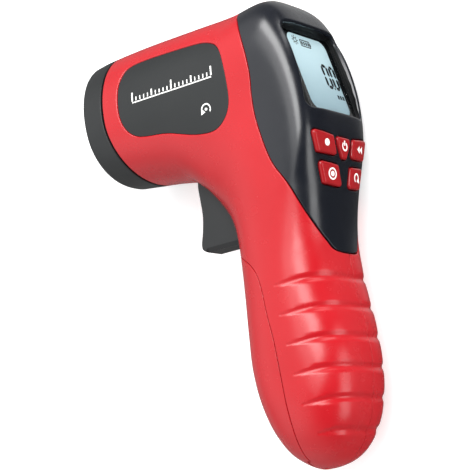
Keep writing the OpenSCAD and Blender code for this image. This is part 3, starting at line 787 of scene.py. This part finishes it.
RED = ((0.415, 0.0066, 0.0115), (0.455, 0.0092, 0.015))
MAT = {
    "red_shell": moulded("red_shell", *RED, rough=0.25, depth=0.000012, strength=0.2, spec=0.46),
    "red_key": moulded("red_key", (0.28, 0.005, 0.0075), (0.315, 0.0065, 0.01), rough=0.22, spec=0.4, depth=0.000008, strength=0.15),
    "black_housing": moulded("black_housing", (0.0052, 0.0066, 0.0105), (0.0068, 0.0084, 0.0128), rough=0.22, depth=0.00001, strength=0.2, spec=0.6),
    "dark_trim": moulded("dark_trim", (0.0094, 0.011, 0.0118), (0.0122, 0.0138, 0.0146), rough=0.42, depth=0.00002, strength=0.3, spec=0.42),
    "label": moulded("label", (0.0092, 0.011, 0.0116), (0.0118, 0.0136, 0.0142), rough=0.45, grain=3400.0, depth=0.00001, strength=0.25, spec=0.42),
    # colour a shade darker than the cowl's: painted shade in the display recess; its gloss is also turned down
    "well": moulded("well", (0.004, 0.0045, 0.005), (0.0055, 0.006, 0.0065), rough=0.42, depth=0.000008, strength=0.2, spec=0.12),
    "black_inner": moulded("black_inner", (0.012, 0.012, 0.013), (0.018, 0.018, 0.019), rough=0.5),
    "white_print": moulded("white_print", (0.84, 0.84, 0.82), (0.9, 0.9, 0.88), rough=0.45, depth=0.000005),
    "lcd_ink": moulded("lcd_ink", (0.003, 0.0035, 0.005), (0.005, 0.0055, 0.007), rough=0.5, depth=0.000003, spec=0.05),
    "window_ink": moulded("window_ink", (0.004, 0.0045, 0.005), (0.006, 0.0065, 0.007), rough=0.25, depth=0.000003),
    "white_plastic": moulded("white_plastic", (0.74, 0.75, 0.74), (0.8, 0.81, 0.8), rough=0.4),
    "grey_rubber": moulded("grey_rubber", (0.05, 0.05, 0.055), (0.065, 0.065, 0.07), rough=0.7, depth=0.00004, strength=0.4),
    "circuit_board": board("circuit_board"),
    "brass": metal("brass", (0.68, 0.47, 0.18), (0.78, 0.56, 0.25), 0.28),
    "steel": metal("steel", (0.55, 0.55, 0.56), (0.68, 0.68, 0.69), 0.3),
    "battery_can": metal("battery_can", (0.10, 0.11, 0.12), (0.15, 0.16, 0.17), 0.38, (1, 0.05, 1)),
    "red_wire": moulded("red_wire", (0.5, 0.02, 0.02), (0.6, 0.03, 0.03), rough=0.4),
    "black_wire": moulded("black_wire", (0.012, 0.012, 0.012), (0.02, 0.02, 0.02), rough=0.4),
    "window": clear("window", (0.02, 0.024, 0.026), 0.06, 0.03),
    "lens_glass": clear("lens_glass", (0.55, 0.7, 0.78), 0.35, 0.02),
    "laser_glass": clear("laser_glass", (0.7, 0.25, 0.25), 0.5, 0.02),
}


def lcd_material():
    """Pale display glass over a faint uneven tone; its colour brightens towards the top as a painted highlight, and it
    glows faintly in that colour as a painted glow.
    """
    m, nt, sh, co = nodes_of("lcd")
    sep = nt.nodes.new("ShaderNodeSeparateXYZ")
    nt.links.new(co, sep.inputs["Vector"])
    # painted highlight: the colour rises from the bottom to the top of the display
    up = remap(nt, sep.outputs["Y"], 0.0, 1.0, 0.036, 0.064)
    tone_and_painted_highlight = add(nt, up, add(nt, noise(nt, co, 70.0, 2.0), 0.12, "MULTIPLY"))
    col = two_tone(nt, tone_and_painted_highlight, (0.218, 0.33, 0.377), (0.475, 0.65, 0.70), 0.1, 1.0)
    nt.links.new(col, sh.inputs["Base Color"])
    # painted glow: the display gives off light in its own highlighted colour
    nt.links.new(col, sh.inputs["Emission Color"])
    sh.inputs["Emission Strength"].default_value = 0.2
    nt.links.new(remap(nt, noise(nt, co, 900.0), 0.35, 0.45), sh.inputs["Roughness"])
    return m


MAT["lcd"] = lcd_material()


def finish_piece(ob, mat, body, slot, *replaced):
    ob.data.materials.clear()
    ob.data.materials.append(MAT[mat])
    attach(ob, body)
    if replaced:
        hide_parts(*replaced)
    return ob


# ------------------------------------------------------------------ red shells, housing, door, label plates
T_BODY = np.concatenate([np.arange(0.9, 10.6, 0.08), np.arange(10.6, 15.4, 0.1), np.arange(15.4, 16.9, 0.06), [16.9, 16.95, 16.98, 17.0]])
EDGE = [0.04, 0.1, 0.17, 0.25, 0.35]
D2 = math.pi / 90


def phis(a, b, step=2.0):
    return np.radians(np.arange(a, b + step / 2, step))


def shell(side):
    cons = [behind_nose(0.3), in_prism(HOUSING_LINE, 0.12, 0.32, False), door_edge(False, 0.11, 0.17),
            side_of(side, 0.07, 0.16), off_slot(0.45), in_prism(LABEL_LINE, 0.18, 0.42, False)]
    if side < 0:
        cons.append(off_holes(BOSS, 2.7, 0.3))
    ph = phis(-4, 184) if side > 0 else phis(-184, 4)
    return moulding("case_shell_left" if side > 0 else "case_shell_right", T_BODY, ph, cons, [0.06, 0.15, 0.3], WALL, ribs=True)


finish_piece(shell(1), "red_shell", "case", "red_shell", "shell_left")
finish_piece(shell(-1), "red_shell", "case", "red_shell", "shell_right")


def bosses(side):
    """Screw posts and the trigger pin's post, which stand on the inside of a shell."""
    a = np.linspace(0, 2 * np.pi, 32, endpoint=False)
    ring = np.stack([np.cos(a), np.sin(a)], 1)
    parts = []

    def post(b, prof, closed):
        rows = []
        for r, z in prof:
            xy = np.array(b) + r * ring
            if z is None:
                t, ph = flank(xy[:, 0], xy[:, 1])
                zz = base(t, ph)[:, 2] - 1.0
            else:
                zz = np.full(len(a), z)
            rows.append(np.concatenate([xy, side * zz[:, None]], 1))
        c = None if closed else cap(ring)
        v, t = tube(rows, True, c, c, closed)
        parts.append((v, outward(v, t)))

    for b in BOSS:
        out = [(1.35, 0.15), (2.95, 0.15), (3.1, 0.3), (3.1, 8.15), (3.6, None)]
        post(b, out + [(2.7, None), (2.7, 8.0), (1.35, 8.0)] if side < 0 else [(1.35, 9.2)] + out, side < 0)
    post(PIVOT, [(1.55, 8.05), (1.55, 5.7), (2.85, 5.7), (3.0, 5.85), (3.0, 9.7), (3.6, None)], False)
    v, t = gather(parts)
    return new_object("shell_posts_left" if side > 0 else "shell_posts_right", v, t, sharp=30)


finish_piece(bosses(1), "red_shell", "case", "red_shell")
finish_piece(bosses(-1), "red_shell", "case", "red_shell")


def housing():
    cons = [in_prism(HOUSING_LINE, 0.12, 0.3, True), off_face(LCD, RIM, 0.8)]
    for k in KEYS.values():
        cons.append(off_face(KEY, rounded_poly(k, 1.1, 0.35), 0.28))
    ts = np.arange(3.4, 11.4, 0.05)
    return moulding("display_cowl", ts, phis(76, 284, 1.5), cons, EDGE + [0.5, 0.7], WALL)


def well():
    """Stepped dark frame that leads from the cowl's rim down to the pane."""
    a, b = refine(ccw(RIM), 5), refine(ccw(rounded_poly(SEAT_Q, 2.4)), 5)
    top = surf(LCD, a)[0] - 0.72
    rows = []
    for g, f in ((0.02, 1.0), (0.02, 0.0), (1.0, 0.0), (1.0, 0.1), (0.985, 0.135), (0.95, 0.155), (0.74, 0.17), (0.715, 0.19), (0.7, 0.33),
                 (0.685, 0.365), (0.65, 0.385), (0.47, 0.4), (0.445, 0.42), (0.43, 0.46), (0.07, 1.0)):
        rows.append(LCD.at(a + (b - a) * g, 0.02 + (top - 0.02) * f))
    v, t = tube(rows, loop_rows=True)
    return new_object("display_well", v, outward(v, t), sharp=24)


finish_piece(housing(), "black_housing", "case", "black_housing", "display_housing")
finish_piece(well(), "well", "case", "dark_trim")
finish_piece(moulding("grip_door", np.concatenate([np.arange(8.2, 15.4, 0.065), np.arange(15.4, 17.0, 0.05)]), phis(-110, 110),
                      [door_edge(True, 0.11, 0.17)], EDGE, WALL),
             "red_shell", "door", "red_shell", "battery_door")
for s, nm in ((1, "label_left"), (-1, "label_right")):
    ph = phis(24, 150) if s > 0 else phis(-150, -24)
    finish_piece(moulding("flank_" + nm, np.arange(0.9, 7.2, 0.07), ph, [in_prism(LABEL_LINE, -0.1, 0.16, True), side_of(s, 4.0, 0.3)],
                          EDGE, 0.85, sunk=0.26), "label", "case", "label", nm)


def hinge_barrel():
    """Crowned knuckle of the door between the two shell knuckles."""
    a = np.linspace(0, 2 * np.pi, 40, endpoint=False)
    rows = []
    for z in np.concatenate([[-2.98], np.linspace(-2.9, 2.9, 13), [2.98]]):
        r = 1.46 - z * z / 34.0 - (0.12 if abs(z) > 2.95 else 0.0)
        rows.append(np.stack([HINGE[0] + r * np.cos(a), HINGE[1] + r * np.sin(a), np.full(len(a), z)], 1))
    c = cap(rows[0][:, :2])
    v, t = tube(rows, True, c, c)
    return new_object("hinge_barrel", v, outward(v, t), sharp=40)


finish_piece(hinge_barrel(), "red_shell", "door", "red_shell")


def section(y, off):
    """Outline, across and deep, of the grip at one height, a little under its skin."""
    ts, out = np.linspace(9, 17, 500), []
    for a in np.radians(np.arange(-178, 180, 4)):
        p = base(ts, a, off)
        k = int(np.argmax(p[:, 1] < y))
        out.append(p[k - 1] + (p[k] - p[k - 1]) * (p[k - 1, 1] - y) / (p[k - 1, 1] - p[k, 1]))
    return np.array(out)[:, [0, 2]]


def clip(p, n, c):
    """The part of a flat outline on one side of a line."""
    out = []
    for a, b in zip(p, np.roll(p, -1, 0)):
        da, db = np.dot(n, a) - c, np.dot(n, b) - c
        if da <= 0:
            out.append(a)
        if da * db < 0:
            out.append(a + (b - a) * da / (da - db))
    return np.array(out)


def slab(outline, lo, hi, axis):
    """A flat rib with small bevels on both faces."""
    o = ccw(outline)
    rows = []
    for h, d in ((lo, 0.18), (lo + 0.06, 0.06), (lo + 0.2, 0.0), (hi - 0.2, 0.0), (hi - 0.06, 0.06), (hi, 0.18)):
        rows.append(np.insert(inset(o, d) if d else o, axis, h, axis=1))
    v, t = tube(rows, True, cap(inset(o, 0.18)), cap(inset(o, 0.18)))
    return v, outward(v, t)


def door_ribs():
    """Cross ribs that hold the battery, and the two tongues at the door's upper edge."""
    parts = []
    for y in (-66, -56, -46, -36, -26):
        q = section(y + 0.7, 1.2)
        for n, c in (((-1, 0), -5.0), ((1, 0), 12.6), ((2, 4.6), 94.2), ((2, -4.6), 94.2), ((0, 1), 17.0), ((0, -1), 17.0)):
            q = clip(q, n, c)
        parts.append(slab(q, y, y + 1.4, 1))
    for z in (-9, 6):
        parts.append(slab(np.array([[8.9, -20], [9.1, -20], [10.6, -13.8], [10.6, -11.7], [8.9, -10.9]]), z, z + 3, 2))
    v, t = gather(parts)
    return new_object("door_ribs", v, t, sharp=30)


finish_piece(door_ribs(), "red_shell", "door", "red_shell")


# ------------------------------------------------------------------ nose bezel
def nose():
    ph = np.radians(np.arange(0, 360, 1.5))
    te = nose_t(ph, -SEAM)
    e = 1e-3
    lt = np.linalg.norm((base(te + e, ph) - base(te - e, ph)) / (2 * e), axis=1)
    rows = []
    r = 0.3
    for g in np.linspace(90, 0, 6):
        g = math.radians(g)
        t = te - r * (1 - math.sin(g)) / lt
        n = SIGN * normal(t, ph)
        rows.append(base(t, ph) - n * r * (1 - math.cos(g)))
    for k in np.linspace(0.93, 0.0, 13)[:-1]:
        rows.append(base(0.05 + (te - r / lt - 0.05) * k, ph))
    lip = curve([[0.05, 0], [-0.08, 0.35], [-0.16, 1.0], [-0.2, 1.9], [-0.2, 2.6], [-0.12, 3.1], [0.1, 3.28], [0.5, 3.3]], 4)
    for t, off in lip:
        rows.append(base(np.full(len(ph), t), ph, off))
    for k in (0.75, 1.0):
        rows.append(base(0.5 + (te - 0.5) * k, ph, 3.3))
    v, t = tube(rows, loop_rows=True)
    return new_object("nose_ring", v, outward(v, t), sharp=50)


finish_piece(nose(), "dark_trim", "case", "dark_trim", "nose_bezel")


# ------------------------------------------------------------------ trigger
def trigger():
    front = curve([[-8.6, 21.4], [-9.1, 18], [-8.9, 13], [-8.8, 8], [-9.6, 3], [-10.7, -1.2], [-10.5, -3.2], [-9, -4.3]], 10)
    arc = [[PIVOT[0] + 4.4 * math.cos(math.radians(a)), PIVOT[1] + 4.4 * math.sin(math.radians(a))] for a in range(15, 166, 10)]
    p = np.concatenate([front, [[6.6, -4.3], [7.2, -3.6], [6.8, 1], [5, 10], [3.6, 17], [3.4, 25.6]], arc, [[-5.4, 25.6]]])
    p = ccw(dense(p, 0.45))
    q = unit(np.roll(p, -1, 0) - np.roll(p, 1, 0))
    for _ in range(3):
        q = unit(np.roll(q, 1, 0) + 2 * q + np.roll(q, -1, 0))
    inward = np.stack([-q[:, 1], q[:, 0]], 1)
    low = 1 - ease((p[:, 1] + 4.25) / 1.6)
    mid = ease((p[:, 0] + 9.6) / 1.4) * low
    d = 0.75 + 0.55 * mid
    rows = []
    prof = []
    for k in range(0, 9):
        g = k / 8
        prof.append(((1 - math.cos(g * math.pi / 2)), 1 - math.sin(g * math.pi / 2), g, 1 - g))
    for sgn in (-1, 1):
        seq = prof[::-1] if sgn < 0 else prof
        for i0, z0, i1, z1 in seq:
            ins = d * ((1 - mid) * i0 + mid * i1)
            dz = d * ((1 - mid) * z0 + mid * z1)
            pp = p + inward * ins[:, None]
            rows.append(np.concatenate([pp, (sgn * (5 - dz))[:, None]], 1))
    c0, c1 = cap(rows[0][:, :2]), cap(rows[-1][:, :2])
    v, t = tube(rows, True, c0, c1)
    return new_object("trigger_blade", v, outward(v, t), sharp=28)


finish_piece(trigger(), "dark_trim", "trigger_arm", "dark_trim", "trigger")


# ------------------------------------------------------------------ keys
KEY_RISE = 0.9


def key(name, poly):
    """Key cap: lip, straight sides, rounded edge and a top that follows the panel."""
    def fn(g):
        return refine(ccw(rounded_poly(poly, 1.1, g, 6)), 2)
    rows = []

    def put(zv, n):
        rows.append(KEY.at(zv, np.zeros(len(zv)) + n))

    put(fn(0.6), -6.3)
    put(fn(0.6), -5.25)
    put(fn(0.0), -5.25)
    r = 0.8
    h = surf(KEY, fn(0.0), -KEY_RISE)[0]
    put(fn(0.0), h - 2.0)
    for g in np.linspace(0, 90, 8):
        g = math.radians(g)
        q = fn(-r * (1 - math.cos(g)))
        put(q, surf(KEY, q, -KEY_RISE)[0] - r * (1 - math.sin(g)))
    c = q.mean(0)
    for k in (0.93, 0.82, 0.68, 0.5, 0.3, 0.1):
        qq = c + (q - c) * k
        put(qq, surf(KEY, qq, -KEY_RISE)[0])
    v, t = tube(rows, True, cap(fn(0.6)), cap(qq))
    return new_object(name + "_cap", v, outward(v, t), sharp=38)


def on_key(zv):
    h, t, ph = surf(KEY, zv, -KEY_RISE)
    return KEY.at(zv, h), SIGN * normal(t, ph)


def arc(c, r, a0, a1, k=30):
    a = np.radians(np.linspace(a0, a1, k))
    return np.stack([c[0] + r * np.cos(a), c[1] + r * np.sin(a)], 1)


MARKS = {
    "key_laser": [disc((10.1, 4.9), 1.15)],
    "key_power": [stroke(arc((0, 4.7), 1.3, 125, 415), 0.55), stroke([[0, 6.6], [0, 4.9]], 0.55)],
    "key_mode": [shape([[-11.6, 3.6], [-11.6, 6.0], [-9.9, 4.8]]), shape([[-9.7, 3.6], [-9.7, 6.0], [-8.0, 4.8]])],
    "key_store": [stroke(arc((7.4, -4.9), 1.7, 0, 360)[:-1], 0.5, True), disc((7.4, -4.9), 0.85)],
    "key_recall": [stroke(arc((-7.2, -4.9), 1.5, -50, 215), 0.55), shape([[-9.6, -6.3], [-7.2, -5.9], [-8.6, -4.3]])],
}
for nm, poly in KEYS.items():
    finish_piece(key(nm, poly), "red_key", nm + "_cap", "red_key", nm)
    finish_piece(printed(nm + "_mark", MARKS[nm], on_key, 0.025, 0.08), "white_print", nm + "_cap", "white_plastic")


# ------------------------------------------------------------------ display
def pane_outline(g):
    return rounded_poly(SEAT_Q, 2.4, 0.25 + g)


finish_piece(plate("display_pane", LCD, pane_outline, -0.5, 0.0, 0.12), "window", "case", "window", "display_window")
finish_piece(plate("display_glass", LCD, lambda g: rounded_poly(rect(26.2, 29.3, 0, 0.2), 0.4, g, 3), -2.8, -0.62, 0.1), "lcd", "case", "lcd", "lcd_panel")


def mask():
    """Dark border printed on the back of the pane."""
    o = ccw(pane_outline(-0.1))
    i = ccw(rounded_poly(rect(23.7, 28.5, -0.65, 0.15), 3.4, 0.0, 9))
    c = np.array([0.0, 0.4])

    def by_angle(p, a):
        p = dense(p, 0.1)
        g = np.arctan2(p[:, 1] - c[1], p[:, 0] - c[0])
        k = np.argsort(g)
        g, p = g[k], p[k]
        return np.stack([np.interp(a, g, p[:, j], period=2 * np.pi) for j in (0, 1)], 1)

    a = np.sort(np.concatenate([np.linspace(-np.pi, np.pi, 240, endpoint=False)] + [np.arctan2(q[:, 1] - c[1], q[:, 0] - c[0]) for q in (o, i)]))
    a = a[np.concatenate([[True], np.diff(a) > 1e-4])]
    oo, ii = by_angle(o, a), by_angle(i, a)
    h = np.ones(len(a))
    rows = [LCD.at(oo, -0.51 * h), LCD.at(oo, -0.58 * h), LCD.at(ii, -0.58 * h), LCD.at(ii, -0.51 * h)]
    v, t = tube(rows, loop_rows=True)
    return new_object("display_border", v, outward(v, t), sharp=30)


finish_piece(mask(), "window_ink", "case", "window")


def segments():
    """Characters of the display as separate thin electrodes."""
    parts = []

    def put(p, o):
        p = np.asarray(p, float)
        parts.append(shape(np.stack([o[0] - p[:, 0], p[:, 1] + o[1]], 1)))

    def digit(o, w, h, s, on):
        g, m = s / 2, 0.12
        hor = lambda y: [[g + m, y], [s + m, y - g], [w - s - m, y - g], [w - g - m, y], [w - s - m, y + g], [s + m, y + g]]
        ver = lambda x, y0, y1: [[x, y0 + m], [x + g, y0 + g + m], [x + g, y1 - g - m], [x, y1 - m], [x - g, y1 - g - m], [x - g, y0 + g + m]]
        segs = {"a": hor(h - g), "d": hor(g), "g": hor(h / 2), "b": ver(w - g, h / 2, h - g), "c": ver(w - g, g, h / 2),
                "f": ver(g, h / 2, h - g), "e": ver(g, g, h / 2)}
        for k in on:
            put(segs[k], o)

    digit((-4.15, -4.4), 4.1, 9.4, 1.3, "abcdef")
    digit((-8.65, -4.4), 3.7, 9.4, 1.3, "abcdef")
    put([[0, 0], [0.62, 0], [0.62, 0.8], [0, 0.8]], (-8.15, -4.4))
    # unit mark: three short bars
    for k in range(3):
        put([[0, 0], [1.0, 0], [1.0, 1.5], [0, 1.5]], (-8.0 - 1.5 * k, -7.9))
    # beam mark and battery mark along the top
    parts.append(stroke(arc((6.4, 11.9), 0.8, 0, 360)[:-1], 0.34, True, 0.1))
    for g in range(0, 360, 45):
        u = np.array([math.cos(math.radians(g)), math.sin(math.radians(g))])
        parts.append(stroke(np.array([6.4, 11.9]) + np.outer([1.15, 1.8], u), 0.34, False, 0.2))
    parts.append(stroke(rect(5.6, 2.3, 0.4, 11.5), 0.4, True, 0.2))
    parts.append(shape(rect(0.5, 1.1, -2.75, 11.5)))
    for k in range(4):
        parts.append(shape(rect(0.85, 1.3, 2.35 - 1.3 * k, 11.5)))
    v = lambda zv: (LCD.at(zv, np.full(len(zv), -0.61)), np.tile(LCD.n, (len(zv), 1)))
    return printed("display_segments", parts, v, 0.015, 0.03)


finish_piece(segments(), "lcd_ink", "case", "lcd")


# ------------------------------------------------------------------ print on the flank plates
def on_label(side):
    def place(xy):
        t, ph = flank(xy[:, 0], xy[:, 1])
        ph = side * ph
        n = SIGN * normal(t, ph)
        return base(t, ph) - 0.26 * n, n
    return place


def label_print():
    """A plain graduated scale and a small turning arrow."""
    parts = []
    a, b = np.array([-19.4, 48.3]), np.array([13.6, 48.0])
    d = (b - a) / np.linalg.norm(b - a)
    up = np.array([-d[1], d[0]])
    parts.append(stroke([a, b], 0.42))
    for k in range(21):
        q = a + (b - a) * k / 20
        h = 3.2 if k % 10 == 0 else (2.3 if k % 5 == 0 else 1.4)
        parts.append(stroke([q + up * 0.5, q + up * (0.5 + h)], 0.42 if k % 5 else 0.6))
    c = np.array([9.8, 38.0])
    parts.append(stroke(arc(c, 1.7, -40, 220), 0.45))
    parts.append(shape([c + [-2.3, -1.5], c + [-0.5, -0.9], c + [-1.9, 0.5]]))
    parts.append(disc(c, 0.5))
    return parts


for s, nm in ((1, "left"), (-1, "right")):
    finish_piece(printed("scale_print_" + nm, label_print(), on_label(s), 0.02, 0.05), "white_print", "case", "white_plastic")

# ------------------------------------------------------------------ finishes of the pieces that keep their own mesh
KEEP = {
    "nose_plate": "black_inner", "receiver_lens": "lens_glass", "lens_ring": "dark_trim", "laser_module": "brass",
    "laser_window": "laser_glass", "optics_tube": "black_inner", "photodiode": "black_inner", "sensor_board": "circuit_board",
    "backlight": "white_plastic", "zebra_strip": "grey_rubber", "main_board": "circuit_board", "controller_chip": "black_inner",
    "crystal": "steel", "buzzer": "black_inner", "key_board": "circuit_board", "key_mat": "grey_rubber", "trigger_pin": "steel",
    "trigger_spring": "steel", "trigger_switch": "black_inner", "switch_board": "circuit_board", "hinge_pin": "steel",
    "battery": "battery_can", "battery_snap": "black_inner", "lead_positive": "red_wire", "lead_negative": "black_wire",
    "case_screws": "steel", "board_screws": "steel",
}
for nm, mat in KEEP.items():
    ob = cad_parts[nm]
    ob.data.materials.clear()
    ob.data.materials.append(MAT[mat])

# ------------------------------------------------------------------ floor, light and camera
scene = bpy.context.scene
scene.view_settings.view_transform = "Standard"
scene.view_settings.look = "None"

me = bpy.data.meshes.new("floor")
me.from_pydata([(-4, -4, 0), (4, -4, 0), (4, 4, 0), (-4, 4, 0)], [], [(0, 1, 2, 3)])
floor = bpy.data.objects.new("floor", me)
scene.collection.objects.link(floor)
m, nt, sh, co = nodes_of("floor_paper")
nt.links.new(two_tone(nt, noise(nt, co, 6.0), (0.69, 0.69, 0.69), (0.71, 0.71, 0.71)), sh.inputs["Base Color"])
sh.inputs["Roughness"].default_value = 0.9
sh.inputs["Specular IOR Level"].default_value = 0.1
sh.inputs["Emission Color"].default_value = (1, 1, 1, 1)
sh.inputs["Emission Strength"].default_value = 0.5
floor.data.materials.append(m)
floor.visible_glossy = False

world = bpy.data.worlds.new("studio")
scene.world = world
world.use_nodes = True
bg = world.node_tree.nodes["Background"]
wt = world.node_tree
wc = wt.nodes.new("ShaderNodeTexCoord")


def card(direction, inner, outer, value):
    """A soft round reflector seen in one direction of the room."""
    dot = wt.nodes.new("ShaderNodeVectorMath")
    dot.operation = "DOT_PRODUCT"
    dot.inputs[1].default_value = unit(direction).tolist()
    wt.links.new(wc.outputs["Generated"], dot.inputs[0])
    rm = wt.nodes.new("ShaderNodeMapRange")
    rm.interpolation_type = "SMOOTHSTEP"
    rm.inputs["From Min"].default_value = math.cos(math.radians(outer))
    rm.inputs["From Max"].default_value = math.cos(math.radians(inner))
    rm.inputs["To Min"].default_value = 0.0
    rm.inputs["To Max"].default_value = value
    wt.links.new(dot.outputs["Value"], rm.inputs["Value"])
    return rm.outputs["Result"]


total = add(wt, card((0.08, 0.64, -0.76), 10, 36, 0.6), 0.07)
for place, inner, outer, value in (((-0.2, 0.9, 0.3), 10, 80, 0.25), ((-0.85, -0.35, 0.2), 15, 100, 0.35),
                                   ((-0.45, 0.15, 0.85), 20, 66, 0.85), ((-0.3, -0.78, 0.45), 12, 62, 0.5)):
    total = add(wt, total, card(place, inner, outer, value))
wt.links.new(total, bg.inputs["Strength"])
bg.inputs["Color"].default_value = (1, 1, 1, 1)


def softbox(name, place, target, w, h, radiance, up=(0, 0, 1)):
    li = bpy.data.lights.new(name, "AREA")
    li.shape = "RECTANGLE"
    li.size, li.size_y = w, h
    li.energy = radiance * math.pi * w * h
    ob = bpy.data.objects.new(name, li)
    scene.collection.objects.link(ob)
    z = unit(np.array(place, float) - np.array(target, float))
    y = np.array(up, float)
    y = unit(y - (y @ z) * z)
    x = np.cross(y, z)
    mm = np.eye(4)
    mm[:3, 0], mm[:3, 1], mm[:3, 2], mm[:3, 3] = x, y, z, place
    ob.matrix_world = Matrix(mm.tolist())
    return ob


MID = np.array([0.02, 0.03, 0.03])
SLANT = unit([-0.68, 0.73, 0.05])
softbox("key_wide", MID + 0.8 * unit([0.36, 0.32, 0.88]) + 0.05 * SLANT, MID, 0.62, 1.2, 2.2, (-0.65, 0.75, 0.1))
softbox("key_strip", MID + 0.79 * unit([0.45, 0.36, 0.82]) + 0.12 * SLANT, MID, 0.26, 1.08, 7.6, (-0.65, 0.75, 0.1))
softbox("side_strip", MID + 0.8 * unit([0.94, -0.32, 0.05]), MID, 0.24, 0.6, 4.0, (0.25, 0.6, 0.1))
softbox("rim_strip", MID + 0.8 * unit([0.63, 0.76, 0.2]), MID, 0.16, 0.4, 4.0, (0, 0, 1))

mx = -unit([-2532, 707, 1700])
mz = np.array([1190, 175, 1700.0])
mz = -unit(mz - (mz @ mx) * mx)
my = np.cross(mz, mx)
rot = np.stack([mx, my, mz], 1)
eye = row(-rot.T @ np.array([0, 0, 567.0]))
cam = bpy.data.cameras.new("camera")
cam.sensor_fit = "HORIZONTAL"
cam.sensor_width = 36.0
cam.lens = 1700.0 / 470.0 * 36.0
cam.clip_start, cam.clip_end = 0.01, 50.0
co = bpy.data.objects.new("camera", cam)
scene.collection.objects.link(co)
mm = np.eye(4)
mm[:3, 0], mm[:3, 1], mm[:3, 2], mm[:3, 3] = rot[0], -rot[1], -rot[2], eye
co.matrix_world = Matrix(mm.tolist())
scene.camera = co

bpy.context.view_layer.update()
